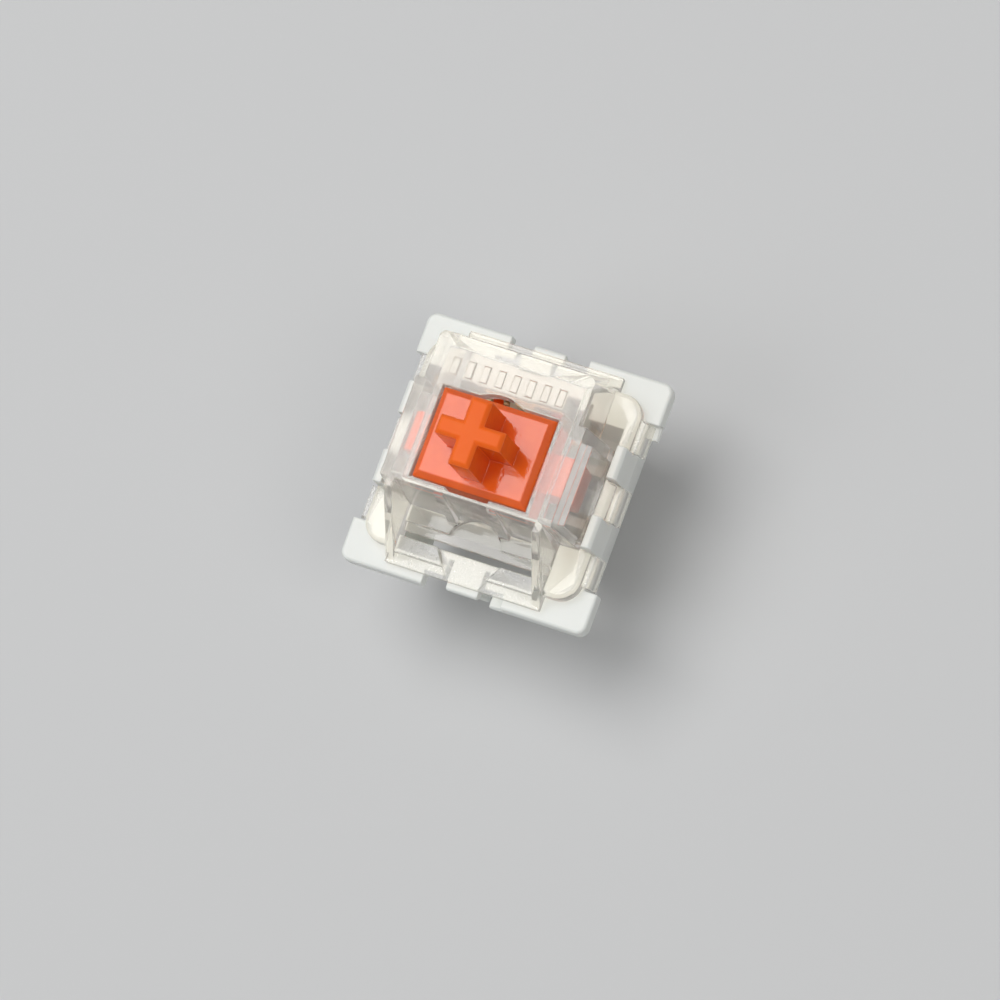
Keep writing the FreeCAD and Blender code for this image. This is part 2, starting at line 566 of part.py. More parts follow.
def side_skirts(part):
    """Side plates in the gaps between the flange corners, with leaning skirts and windows for the latch hooks."""
    end = "(flange_size / 2 - side_corner - skirt_play)"
    edge, top, low = f"({SKIRT} - skirt_lean)", f"({SEAT} + apron_depth)", "(plate_level + flange_depth / 2)"
    plates = box_outline(part, "SidePlates", "XY_Plane", f"-{edge}", edge, f"-{end}", end, SEAT)
    pad(plates, "apron_depth")
    for sign, name in (("", "Right"), ("-", "Left")):
        skirt = [(f"{sign}{edge}", top), (f"{sign}{SKIRT}", low), (f"{sign}({SKIRT} - skirt_wall)", low),
                 (f"{sign}({BODY} + skirt_play)", f"{SEAT} + seat_gap"),
                 (f"{sign}({edge} - skirt_wall)", f"{SEAT} + seat_gap"), (f"{sign}({edge} - skirt_wall)", top)]
        pad(outline(part, f"Skirt{name}", "XZ_Plane", skirt), f"2 * {end}", middle=True)
        for y_sign, tail in (("", "Rear"), ("-", "Front")):
            gap = box_outline(part, f"HookWindow{name}{tail}", "XY_Plane",
                              f"{sign}({BODY} - hook_wall - hook_play)", f"{sign}({SKIRT} + hook_play)",
                              f"{y_sign}(hook_centre - hook_width / 2 - hook_play)",
                              f"{y_sign}(hook_centre + hook_width / 2 + hook_play)", "hook_level")
            pocket(gap, "hook_level - plate_level")


def inside(part):
    """Hollow for the slider, the contacts and the wings."""
    roof = "(top_level - roof_depth)"
    hollow = [(f"-{WELL_FRONT}", "plate_level"), (f"-{WELL_FRONT}", roof), (f"{CROWN_REAR} - rear_wall", roof),
              (f"{BODY} - rear_wall", SHELF), (f"{BODY} - rear_wall", "plate_level")]
    pocket(outline(part, "Hollow", "YZ_Plane", hollow), f"2 * ({SPINE} - shell_wall)", middle=True)
    stop = "(wing_level + wing_play)"
    foot, head = f"({WAIST} - shell_wall)", "(wing_span / 2 + stem_play)"
    wings = [(f"-{foot}", "plate_level"), (f"-{foot}", SHELF), (f"-{head}", stop), (head, stop), (foot, SHELF),
             (foot, "plate_level")]
    chamber = outline(part, "WingChamber", "XZ_Plane", wings, f"-{CROWN_BACK} + shell_wall")
    pocket(chamber, f"{CROWN_BACK} + {CROWN_FRONT} - 2 * shell_wall", reverse=True)


def stem_opening(part):
    """Opening in the top wall that the stem slides in, with an arch behind it and a notch in front."""
    far_x, far_y = "(stem_width / 2 + stem_play)", "(stem_depth / 2 + stem_play)"
    opening = box_outline(part, "Opening", "XY_Plane", f"-{far_x}", far_x, f"-{far_y}", far_y, "top_level")
    pocket(opening, "roof_depth + lip_depth")
    radius = "((arch_width * arch_width / 4 + arch_depth * arch_depth) / (2 * arch_depth))"
    arch = circle(part, "Arch", "XY_Plane", "0", f"{far_y} + arch_depth - {radius}", radius, "top_level")
    pocket(arch, "roof_depth + seat_gap")
    notch = box_outline(part, "Notch", "XY_Plane", "-rib_offset + rib_half", "rib_offset - rib_half",
                        f"-{far_y} - notch_depth", f"-{far_y} + notch_depth", "top_level")
    pocket(notch, "roof_depth")


def stem():
    """Orange stem: hollow slider with wings, keycap cross, pole and two cam legs."""
    part = body("stem")
    low = "(stem_level - stem_height)"
    slider = box_outline(part, "Slider", "XY_Plane", "-stem_width / 2", "stem_width / 2", "-stem_depth / 2",
                         "stem_depth / 2", low)
    pad(slider, "stem_height")
    top = size("stem_level")
    dress(part, "Chamfer", "SliderRim", "stem_chamfer", lambda edge, m: at(m.z, top))
    wings = box_outline(part, "Wings", "XY_Plane", "-wing_span / 2", "wing_span / 2", "-wing_width / 2",
                        "wing_width / 2", low)
    pad(wings, f"wing_level - {low}")
    wing_x, wing_z = size("wing_span") / 2, size("wing_level")
    dress(part, "Chamfer", "WingEdges", "stem_chamfer", lambda edge, m: at(abs(m.x), wing_x) and at(m.z, wing_z))
    for sign, name in (("", "Right"), ("-", "Left")):
        ramp = "(leg_fall / travel)"
        root = "(stem_depth / 2 - leg_sink)"
        leg = [(root, "leg_level"), (f"{LEG_REAR} - leg_width / 4", "leg_level"), (LEG_REAR, "nose_level"),
               (f"{LEG_REAR} - {ramp} * (leg_top - nose_level)", "leg_top"), (root, "leg_top")]
        pad(outline(part, f"Leg{name}", "YZ_Plane", leg, f"{sign}leg_centre"), "leg_width", middle=True)
    hollow = box_outline(part, "SliderHollow", "XY_Plane", "-stem_width / 2 + stem_wall", "stem_width / 2 - stem_wall",
                         "-stem_depth / 2 + stem_wall", "stem_depth / 2 - stem_wall", low)
    pocket(hollow, "stem_height - stem_roof", reverse=True)
    groove = box_outline(part, "WingHollow", "XY_Plane", "-wing_span / 2 + stem_wall", "wing_span / 2 - stem_wall",
                         "-wing_width / 2 + stem_wall", "wing_width / 2 - stem_wall", low)
    pocket(groove, f"wing_level - {low} - stem_wall", reverse=True)
    pole = circle(part, "Pole", "XY_Plane", "0", "0", "pole_width / 2", "pole_level")
    pad(pole, "stem_level - stem_roof / 2 - pole_level")
    tip = size("pole_level")
    dress(part, "Chamfer", "PoleTip", "stem_chamfer", lambda edge, m: at(m.z, tip))
    side, front = ("cross_span / 2", "cross_arm_side / 2"), ("cross_arm_front / 2", "cross_span / 2")
    quarter = [side, (front[0], side[1]), front]
    ring = quarter + [(f"-{x}", y) for x, y in reversed(quarter)]
    ring += [(f"-{x}", f"-{y}") for x, y in quarter] + [(x, f"-{y}") for x, y in reversed(quarter)]
    pad(outline(part, "Cross", "XY_Plane", ring, "stem_level - stem_roof / 2"),
        "cross_level - stem_level + stem_roof / 2")
    peak = size("cross_level")
    dress(part, "Chamfer", "CrossRim", "cross_chamfer", lambda edge, m: at(m.z, peak))
    return part


def half_turn(owner, name, bottom, pitch, rear):
    """Adds half a turn of wire that rises by half the pitch, round the rear or the front of the axis."""
    side = "" if rear else "-"
    corners = [math.radians(60 * i + 30) for i in range(6)]
    wire = [(f"{side}{COIL} + wire_width / 2 * ({math.cos(a):.5f})",
             f"{bottom} + wire_width / 2 * ({math.sin(a):.5f})") for a in corners]
    made = outline(owner, f"{name}Wire", "XZ_Plane", wire)
    axis = made.addGeometry(Part.LineSegment(FreeCAD.Vector(0, 0, 0), FreeCAD.Vector(0, 1, 0)), True)
    middle = f"{bottom} + ({pitch}) / 4"
    hold_point(made, axis, 1, "0", middle)
    hold_point(made, axis, 2, f"{side}({pitch}) / 4", f"{middle} + {COIL}")
    turn = owner.newObject("PartDesign::Revolution", name)
    turn.Profile = made
    turn.ReferenceAxis = (made, ["Axis0"])
    turn.Angle = 180
    made.Visibility = False
    doc.recompute()
    return turn


def whole_turn(owner, name, bottom, pitch):
    """Adds one turn of wire, from a height upwards."""
    return [half_turn(owner, f"{name}Rear", bottom, pitch, True),
            half_turn(owner, f"{name}Front", f"{bottom} + ({pitch}) / 2", pitch, False)]


def return_spring():
    """Steel coil spring with one closed turn at each end."""
    part = body("return_spring")
    low = "(floor_depth + seat_gap + wire_width / 2)"
    high = "(stem_level - stem_roof - seat_gap - wire_width / 2)"
    pitch = f"(({high} - {low} - 2 * coil_pitch) / coil_turns)"
    whole_turn(part, "LowerTurn", low, "coil_pitch")
    turn = whole_turn(part, "OpenTurn", f"{low} + coil_pitch", pitch)
    row = part.newObject("PartDesign::LinearPattern", "OpenTurns")
    row.Originals = turn
    row.Direction = (turn[0].Profile[0], ["V_Axis"])
    row.setExpression("Length", bound(f"{pitch} * (coil_turns - 1)"))
    row.setExpression("Occurrences", bound("coil_turns"))
    part.Tip = row
    doc.recompute()
    whole_turn(part, "UpperTurn", f"{high} - coil_pitch", "coil_pitch")
    return part


def pin(part, name, x, y, top):
    """Flat solder pin with a tapered tip, standing up to a level."""
    shape = [(f"{x} - pin_width / 2", top), (f"{x} - pin_width / 2", "-pin_length + pin_taper"),
             (f"{x} - pin_tip / 2", "-pin_length"), (f"{x} + pin_tip / 2", "-pin_length"),
             (f"{x} + pin_width / 2", "-pin_length + pin_taper"), (f"{x} + pin_width / 2", top)]
    pad(outline(part, name, "XZ_Plane", shape, f"-({y})"), "sheet_depth", middle=True)


def fixed_terminal():
    """Fixed terminal: solder pin, foot on the floor and the upright blade between the stem's legs."""
    part = body("fixed_terminal")
    bottom = "(floor_depth + seat_gap)"
    pin(part, "FixedPin", "fixed_pin_x", "fixed_pin_y", f"{bottom} + sheet_depth")
    near, back = f"({LEG_REAR} + leg_width / 6)", f"({WELL_REAR} - 4 * seat_gap)"
    rear = "(fixed_pin_y + sheet_depth / 2)"
    foot = [("-blade_width / 2", BLADE_FRONT), ("blade_width / 2", BLADE_FRONT), ("blade_width / 2", near),
            ("fixed_pin_x + pin_width / 2", near), ("fixed_pin_x + pin_width / 2", rear),
            ("fixed_pin_x - pin_width / 2", rear), ("fixed_pin_x - pin_width / 2", back),
            ("-blade_width / 2", back)]
    pad(outline(part, "FixedFoot", "XY_Plane", foot, bottom), "sheet_depth")
    blade = box_outline(part, "Blade", "XY_Plane", "-blade_width / 2", "blade_width / 2", BLADE_FRONT, BLADE_REAR,
                        bottom)
    pad(blade, f"blade_level - {bottom}")
    return part


def moving_terminal():
    """Moving terminal: solder pin, foot on the floor and the upright that the leaf is welded to."""
    part = body("moving_terminal")
    bottom = "(floor_depth + seat_gap)"
    pin(part, "MovingPin", "-moving_pin_x", "moving_pin_y", f"{bottom} + sheet_depth")
    left, right = "(-moving_pin_x - pin_width / 2)", "(-moving_pin_x + pin_width / 2)"
    foot = box_outline(part, "MovingFoot", "XY_Plane", left, right, "moving_pin_y - sheet_depth / 2",
                       f"{ANCHOR} + sheet_depth", bottom)
    pad(foot, "sheet_depth")
    upright_plate = box_outline(part, "Anchor", "XY_Plane", left, "-anchor_end", ANCHOR, f"{ANCHOR} + sheet_depth",
                                bottom)
    pad(upright_plate, f"anchor_level - {bottom}")
    return part


def contact_leaf():
    """Spring leaf with two bent noses that rest on the stem's legs."""
    part = body("contact_leaf")
    leaf = box_outline(part, "Leaf", "XY_Plane", "-leaf_width / 2", "leaf_width / 2", LEAF, f"{LEAF} + leaf_depth",
                       "leaf_root")
    pad(leaf, "leaf_level - leaf_root")
    low = size("leaf_root")
    dress(part, "Fillet", "LeafRoot", "leaf_depth * 0.49",
          lambda edge, m: at(m.z, low) and at(edge.Length, size("leaf_width")))
    for sign, name in (("", "Right"), ("-", "Left")):
        opening = box_outline(part, f"NoseOpening{name}", "XZ_Plane", f"{sign}(leg_centre - nose_width / 2)",
                              f"{sign}(leg_centre + nose_width / 2)", "nose_level - nose_half + leaf_depth",
                              "nose_level + nose_half - leaf_depth", f"-{LEAF} - leaf_depth")
        pocket(opening, "2 * leaf_depth", middle=True)
        tip = f"({LEG_REAR} + leaf_play)"
        nose = [(f"{LEAF} + leaf_depth", "nose_level - nose_half"), (LEAF, "nose_level - nose_half"),
                (tip, "nose_level - leaf_depth"), (tip, "nose_level + leaf_depth"),
                (LEAF, "nose_level + nose_half"), (f"{LEAF} + leaf_depth", "nose_level + nose_half"),
                (f"{tip} + 1.4 * leaf_depth", "nose_level")]
        pad(outline(part, f"Nose{name}", "YZ_Plane", nose, f"{sign}leg_centre"), "nose_width", middle=True)
    return part


def contact_bar(name, front):
    """Contact bar whose front face stands at a distance behind the axis."""
    part = body(name)
    bar = box_outline(part, f"{name}_outline", "XZ_Plane", "-bar_length / 2", "bar_length / 2",
                      "bar_level - bar_height / 2", "bar_level + bar_height / 2", f"-({front})")
    pad(bar, "bar_depth", reverse=True)
    long_edges = lambda edge, m: at(edge.Length, size("bar_length"))
    dress(part, "Fillet", f"{name}_round", "bar_depth / 4", long_edges)
    return part


PARTS = [
    lower_housing(),
    upper_housing(),
    stem(),
    return_spring(),
    fixed_terminal(),
    contact_bar("fixed_contact", f"{BLADE_REAR} + seat_gap / 2"),
    moving_terminal(),
    contact_leaf(),
    contact_bar("moving_contact", f"{LEAF} - bar_depth - seat_gap / 2"),
]
doc.recompute()
for item in doc.Objects:
    if "Invalid" in item.State or "Error" in item.State:
        raise RuntimeError(f"{item.Name} failed: {item.State}")
os.makedirs(OUT, exist_ok=True)
for item in PARTS:
    shape = item.Shape
    if shape.isNull() or not shape.isValid():
        raise RuntimeError(f"{item.Label} has no valid shape")
    shape.exportStep(os.path.join(OUT, item.Label + ".step"))
    print(item.Label, "solids", len(shape.Solids), "volume", round(shape.Volume, 2))
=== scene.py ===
"""Looks of a mechanical key switch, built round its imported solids.

Lengths are in metres. +Z points at the keycap, the solder pins are on the +Y side and the lamp slot on the -Y
side. The origin is on the axis of the central boss, in the plane where the switch meets its circuit board.
"""
import logging
import math
from dataclasses import dataclass
from enum import Enum

import bmesh
import bpy
import numpy as np
from mathutils import Matrix, Vector


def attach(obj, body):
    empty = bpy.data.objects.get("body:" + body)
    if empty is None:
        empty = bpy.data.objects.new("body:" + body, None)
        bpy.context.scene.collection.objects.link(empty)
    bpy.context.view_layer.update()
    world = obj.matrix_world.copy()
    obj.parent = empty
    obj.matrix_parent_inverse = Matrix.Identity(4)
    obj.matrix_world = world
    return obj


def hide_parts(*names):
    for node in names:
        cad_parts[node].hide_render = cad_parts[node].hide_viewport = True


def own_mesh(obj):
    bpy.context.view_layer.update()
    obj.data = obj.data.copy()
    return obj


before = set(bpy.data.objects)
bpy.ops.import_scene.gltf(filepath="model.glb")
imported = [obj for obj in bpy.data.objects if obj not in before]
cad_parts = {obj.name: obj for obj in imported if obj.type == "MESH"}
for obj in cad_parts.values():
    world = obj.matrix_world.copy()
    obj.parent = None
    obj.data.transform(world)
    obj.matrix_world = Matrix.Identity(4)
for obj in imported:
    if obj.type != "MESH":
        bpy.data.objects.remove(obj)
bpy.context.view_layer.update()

LOG = logging.getLogger("key_switch")
MM = 0.001
Colour = tuple[float, float, float]


class Body(Enum):
    """Moving groups of the switch."""

    HOUSING = "housing"
    STEM = "stem"
    LEAF = "leaf"


class Slot(Enum):
    """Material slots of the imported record."""

    WHITE = "white_plastic"
    CLEAR = "clear_plastic"
    ORANGE = "orange_plastic"
    STEEL = "spring_steel"
    COPPER = "terminal_copper"
    LEAF = "leaf_copper"
    GOLD = "contact_gold"


class Rolled(Enum):
    """Direction in which a sheet was rolled, as the scale of its streaks along X, Y and Z."""

    UPWARDS = (1.0, 1.0, 0.12)
    ACROSS = (0.12, 1.0, 1.0)


# Shader building


class ShaderTree:
    """A node tree with short calls that add nodes and join sockets."""

    def __init__(self, tree: bpy.types.NodeTree) -> None:
        """Keeps the tree that the calls write to.

        Args:
            tree: node tree of a material, a world or a group.
        """
        self.tree = tree

    def add(self, kind: str, inputs: dict[str | int, object] | None = None,
            **settings: object) -> bpy.types.Node:
        """Adds a node.

        Args:
            kind: Blender's name of the node's type.
            inputs: values, or output sockets to join, by input name or number.
            settings: the node's own settings.

        Returns:
            The new node.
        """
        node = self.tree.nodes.new(kind)
        for key, value in settings.items():
            setattr(node, key, value)
        for key, value in (inputs or {}).items():
            if isinstance(value, bpy.types.NodeSocket):
                self.join(value, node.inputs[key])
            else:
                node.inputs[key].default_value = value
        return node

    def join(self, source: bpy.types.NodeSocket, target: bpy.types.NodeSocket) -> None:
        """Joins an output socket to an input socket."""
        self.tree.links.new(source, target)

    def blend(self, share: bpy.types.NodeSocket, first: Colour, second: Colour) -> bpy.types.NodeSocket:
        """Mixes two colours by a mask.

        Args:
            share: mask from 0, the first colour, to 1, the second.
            first: colour at 0.
            second: colour at 1.

        Returns:
            The mixed colour's socket.
        """
        node = self.add("ShaderNodeMix", {"Factor": share}, data_type="RGBA")
        node.inputs["A"].default_value = (*first, 1.0)
        node.inputs["B"].default_value = (*second, 1.0)
        return node.outputs["Result"]

    def between(self, value: bpy.types.NodeSocket, low: float, high: float,
                start: float = 0.0, end: float = 1.0) -> bpy.types.NodeSocket:
        """Maps a mask to a range.

        Args:
            value: mask to map.
            low: result at start.
            high: result at end.
            start: mask value where the range begins.
            end: mask value where it ends.

        Returns:
            The mapped value's socket.
        """
        node = self.add("ShaderNodeMapRange", {"Value": value, "From Min": start, "From Max": end,
                                               "To Min": low, "To Max": high})
        return node.outputs["Result"]

    def maths(self, operation: str, *values: float | bpy.types.NodeSocket) -> bpy.types.NodeSocket:
        """Adds a maths node.

        Args:
            operation: Blender's name of the operation.
            values: numbers or sockets, in order.

        Returns:
            The result's socket.
        """
        return self.add("ShaderNodeMath", dict(enumerate(values)), operation=operation).outputs[0]

    def surface(self, shade: bpy.types.NodeSocket) -> None:
        """Makes a shader's socket the material's surface."""
        out = self.add("ShaderNodeOutputMaterial")
        self.join(shade, out.inputs["Surface"])


class SharedEffects:
    """Shader node groups that several finishes use, each built once.

    MOULD_TONE and METAL_TONE are the scale of the slow change of tone, as a share of the scale of the ripples
    and of the streaks.
    """

    MOULD_TONE = 0.31
    METAL_TONE = 0.16

    def __init__(self) -> None:
        """Builds the groups."""
        self.moulding = self._moulding()
        self.rolling = self._rolling()

    @staticmethod
    def _new(name: str, takes: dict[str, str]) -> tuple[ShaderTree, bpy.types.Node, bpy.types.Node]:
        """Starts a group with its inputs and the outputs Height, Tone and Gloss.

        Args:
            name: name of the group.
            takes: socket type by input name.

        Returns:
            The group's tree, its input node and its output node.
        """
        tree = bpy.data.node_groups.new(name, "ShaderNodeTree")
        for label, kind in takes.items():
            tree.interface.new_socket(label, in_out="INPUT", socket_type=kind)
        for label in ("Height", "Tone", "Gloss"):
            tree.interface.new_socket(label, in_out="OUTPUT", socket_type="NodeSocketFloat")
        shader = ShaderTree(tree)
        return shader, shader.add("NodeGroupInput"), shader.add("NodeGroupOutput")

    def _moulding(self) -> bpy.types.NodeTree:
        """Surface that a mould leaves: fine grain over slow flow ripples, with a slow change of tone.

        Height is grain times its share plus ripple times the rest. Tone is a slow noise and Gloss is the
        grain, both stretched to 0..1.

        Returns:
            The group, with the outputs Height, Tone and Gloss.
        """
        takes = {"Vector": "NodeSocketVector", "Grain Scale": "NodeSocketFloat",
                 "Flow Scale": "NodeSocketFloat", "Grain Share": "NodeSocketFloat"}
        shader, given, out = self._new("MouldedSurface", takes)
        vector = given.outputs["Vector"]
        grain = shader.add("ShaderNodeTexNoise", {"Vector": vector, "Scale": given.outputs["Grain Scale"],
                                                  "Detail": 3.0, "Roughness": 0.55})
        flow = shader.add("ShaderNodeTexNoise", {"Vector": vector, "Scale": given.outputs["Flow Scale"],
                                                 "Detail": 2.0, "Roughness": 0.45, "Distortion": 0.7})
        slow = shader.maths("MULTIPLY", given.outputs["Flow Scale"], self.MOULD_TONE)
        tone = shader.add("ShaderNodeTexNoise", {"Vector": vector, "Scale": slow, "Detail": 2.0})
        height = shader.add("ShaderNodeMix", {"Factor": given.outputs["Grain Share"],
                                              "A": flow.outputs["Fac"], "B": grain.outputs["Fac"]},
                            data_type="FLOAT")
        shader.join(height.outputs["Result"], out.inputs["Height"])
        shader.join(shader.between(tone.outputs["Fac"], 0.0, 1.0, 0.32, 0.68), out.inputs["Tone"])
        shader.join(shader.between(grain.outputs["Fac"], 0.0, 1.0, 0.3, 0.7), out.inputs["Gloss"])
        return shader.tree

    def _rolling(self) -> bpy.types.NodeTree:
        """Surface of rolled metal sheet or drawn wire: long fine streaks with a few scattered dull spots.

        Height is a noise squeezed across the streaks, Tone is a slower one, and Gloss mixes both.

        Returns:
            The group, with the outputs Height, Tone and Gloss.
        """
        takes = {"Vector": "NodeSocketVector", "Streak Scale": "NodeSocketFloat",
                 "Stretch": "NodeSocketVector"}
        shader, given, out = self._new("RolledMetal", takes)
        along = shader.add("ShaderNodeVectorMath", {0: given.outputs["Vector"], 1: given.outputs["Stretch"]},
                           operation="MULTIPLY").outputs["Vector"]
        streak = shader.add("ShaderNodeTexNoise", {"Vector": along, "Scale": given.outputs["Streak Scale"],
                                                   "Detail": 4.0, "Roughness": 0.6})
        slow = shader.maths("MULTIPLY", given.outputs["Streak Scale"], self.METAL_TONE)
        tone = shader.add("ShaderNodeTexNoise", {"Vector": given.outputs["Vector"], "Scale": slow,
                                                 "Detail": 3.0})
        both = shader.maths("MULTIPLY", shader.maths("ADD", streak.outputs["Fac"], tone.outputs["Fac"]), 0.5)
        shader.join(streak.outputs["Fac"], out.inputs["Height"])
        shader.join(shader.between(tone.outputs["Fac"], 0.0, 1.0, 0.35, 0.65), out.inputs["Tone"])
        shader.join(shader.between(both, 0.0, 1.0, 0.35, 0.65), out.inputs["Gloss"])
        return shader.tree


# Finishes


@dataclass(frozen=True)
class Moulding:
    """How a mould's own surface shows on plastic: grain and ripple sizes, their mix and their depth."""

    grain: float
    ripple: float
    grain_share: float
    relief: float

    def place(self, shader: ShaderTree,
              effects: SharedEffects) -> tuple[bpy.types.Node, bpy.types.NodeSocket]:
        """Puts the group and its bump in a material.

        Args:
            shader: the material's tree.
            effects: the shared groups.

        Returns:
            The group's node and the bumped normal's socket.
        """
        place = shader.add("ShaderNodeTexCoord")
        group = shader.add("ShaderNodeGroup", node_tree=effects.moulding)
        shader.join(place.outputs["Object"], group.inputs["Vector"])
        group.inputs["Grain Scale"].default_value = 1.0 / self.grain
        group.inputs["Flow Scale"].default_value = 1.0 / self.ripple
        group.inputs["Grain Share"].default_value = self.grain_share
        bump = shader.add("ShaderNodeBump", {"Height": group.outputs["Height"], "Distance": self.relief,
                                             "Strength": 1.0})
        return group, bump.outputs["Normal"]


def new_material(name: str) -> tuple[bpy.types.Material, ShaderTree]:
    """Starts a material with an empty node tree.

    Args:
        name: name of the material.

    Returns:
        The material and its tree.
    """
    material = bpy.data.materials.new(name)
    material.use_nodes = True
    material.node_tree.nodes.clear()
    return material, ShaderTree(material.node_tree)


@dataclass(frozen=True)
class OpaquePlastic:
    """Moulded opaque plastic with two close tones and a roughness that follows the grain."""

    name: str
    light: Colour
    dark: Colour
    gloss: tuple[float, float]
    moulding: Moulding
    glow: float
    glow_reach: float = 0.4 * MM
    shine: float = 0.5

    def build(self, effects: SharedEffects) -> bpy.types.Material:
        """Builds the material.

        Args:
            effects: the shared groups.

        Returns:
            The material.
        """
        material, shader = new_material(self.name)
        group, normal = self.moulding.place(shader, effects)
        surface = shader.add("ShaderNodeBsdfPrincipled", {
            "Base Color": shader.blend(group.outputs["Tone"], self.light, self.dark),
            "Roughness": shader.between(group.outputs["Gloss"], *self.gloss),
            "Normal": normal, "IOR": 1.5, "Specular IOR Level": self.shine, "Subsurface Weight": self.glow,
            "Subsurface Scale": self.glow_reach, "Subsurface Radius": (1.0, 0.9, 0.8)})
        shader.surface(surface.outputs["BSDF"])
        return material


@dataclass(frozen=True)
class ClearPlastic:
    """See-through plastic with a little haze, which lets lamplight through to what is behind it.

    Its two tones are the tint and a paler one. Shadow is the share of lamplight that passes each wall.
    """

    name: str
    tint: Colour
    clearness: float
    gloss: tuple[float, float]
    moulding: Moulding
    paler: float = 1.02
    shadow: float = 0.86

    def build(self, effects: SharedEffects) -> bpy.types.Material:
        """Builds the material.

        Args:
            effects: the shared groups.

        Returns:
            The material.
        """
        material, shader = new_material(self.name)
        group, normal = self.moulding.place(shader, effects)
        pale = tuple(min(1.0, c * self.paler) for c in self.tint)
        surface = shader.add("ShaderNodeBsdfPrincipled", {
            "Base Color": shader.blend(group.outputs["Tone"], pale, self.tint),
            "Roughness": shader.between(group.outputs["Gloss"], *self.gloss),
            "Normal": normal, "IOR": 1.49, "Transmission Weight": self.clearness})
        dimmed = tuple(c * self.shadow for c in self.tint)
        passed = shader.add("ShaderNodeBsdfTransparent", {"Color": (*dimmed, 1.0)})
        path = shader.add("ShaderNodeLightPath")
        mixed = shader.add("ShaderNodeMixShader", {0: path.outputs["Is Shadow Ray"],
                                                   1: surface.outputs["BSDF"], 2: passed.outputs["BSDF"]})
        shader.surface(mixed.outputs["Shader"])
        return material


@dataclass(frozen=True)
class RolledMetal:
    """Stamped sheet or drawn wire: metal with streaks along its length and slightly uneven polish."""

    name: str
    light: Colour
    dark: Colour
    gloss: tuple[float, float]
    streak: float
    relief: float
    rolled: Rolled = Rolled.UPWARDS

    def build(self, effects: SharedEffects) -> bpy.types.Material:
        """Builds the material.

        Args:
            effects: the shared groups.

        Returns:
            The material.
        """
        material, shader = new_material(self.name)
        place = shader.add("ShaderNodeTexCoord")
        group = shader.add("ShaderNodeGroup", node_tree=effects.rolling)
        shader.join(place.outputs["Object"], group.inputs["Vector"])
        group.inputs["Streak Scale"].default_value = 1.0 / self.streak
        group.inputs["Stretch"].default_value = self.rolled.value
        bump = shader.add("ShaderNodeBump", {"Height": group.outputs["Height"], "Distance": self.relief})
        surface = shader.add("ShaderNodeBsdfPrincipled", {
            "Base Color": shader.blend(group.outputs["Tone"], self.light, self.dark),
            "Roughness": shader.between(group.outputs["Gloss"], *self.gloss),
            "Metallic": 1.0, "Normal": bump.outputs["Normal"]})
        shader.surface(surface.outputs["BSDF"])
        return material


class Finishes:
    """Every finish of the switch, as materials."""

    def __init__(self, effects: SharedEffects) -> None:
        """Builds the materials.

        Args:
            effects: the shared groups.
        """
        satin = Moulding(grain=0.11 * MM, ripple=1.6 * MM, grain_share=0.45, relief=2.2e-6)
        polished = Moulding(grain=0.20 * MM, ripple=0.45 * MM, grain_share=0.12, relief=15.0e-6)
        clean = Moulding(grain=0.3 * MM, ripple=1.2 * MM, grain_share=0.12, relief=3.0e-6)
        misty = Moulding(grain=0.18 * MM, ripple=0.8 * MM, grain_share=0.35, relief=6.0e-6)
        coarse = Moulding(grain=0.15 * MM, ripple=0.5 * MM, grain_share=0.85, relief=22.0e-6)

        self.white = OpaquePlastic(
            "white_satin", light=(0.815, 0.825, 0.785), dark=(0.785, 0.80, 0.765), gloss=(0.34, 0.48),
            moulding=satin, glow=0.2).build(effects)
        self.orange = OpaquePlastic(
            "orange_gloss", light=(0.90, 0.135, 0.008), dark=(0.84, 0.110, 0.006), gloss=(0.05, 0.11),
            moulding=polished, glow=0.12).build(effects)
        self.satin_orange = OpaquePlastic(
            "orange_satin", light=(0.93, 0.155, 0.012), dark=(0.88, 0.13, 0.009), gloss=(0.42, 0.56),
            moulding=satin, glow=0.12, shine=0.22).build(effects)

        self.clear = ClearPlastic(
            "clear_polished", tint=(0.90, 0.885, 0.85), clearness=0.86, gloss=(0.03, 0.08),
            moulding=clean).build(effects)
        self.frosted = ClearPlastic(
            "clear_frosted", tint=(0.89, 0.87, 0.825), clearness=0.80, gloss=(0.10, 0.20),
            moulding=misty).build(effects)
        self.grainy = ClearPlastic(
            "clear_grainy", tint=(0.80, 0.795, 0.78), clearness=0.82, gloss=(0.12, 0.30),
            moulding=coarse).build(effects)

        self.steel = RolledMetal(
            "bright_wire", light=(0.72, 0.72, 0.73), dark=(0.64, 0.64, 0.66), gloss=(0.16, 0.28),
            streak=0.06 * MM, relief=0.6e-6).build(effects)
        self.copper = RolledMetal(
            "terminal_sheet", light=(0.88, 0.68, 0.44), dark=(0.84, 0.63, 0.39), gloss=(0.20, 0.28),
            streak=0.025 * MM, relief=0.25e-6).build(effects)
        self.leaf = RolledMetal(
            "leaf_sheet", light=(0.90, 0.60, 0.38), dark=(0.85, 0.54, 0.33), gloss=(0.16, 0.24),
            streak=0.025 * MM, relief=0.25e-6, rolled=Rolled.ACROSS).build(effects)
        self.gold = RolledMetal(
            "contact_gold", light=(0.92, 0.72, 0.36), dark=(0.88, 0.67, 0.32), gloss=(0.10, 0.18),
            streak=0.02 * MM, relief=0.2e-6, rolled=Rolled.ACROSS).build(effects)


# Pieces


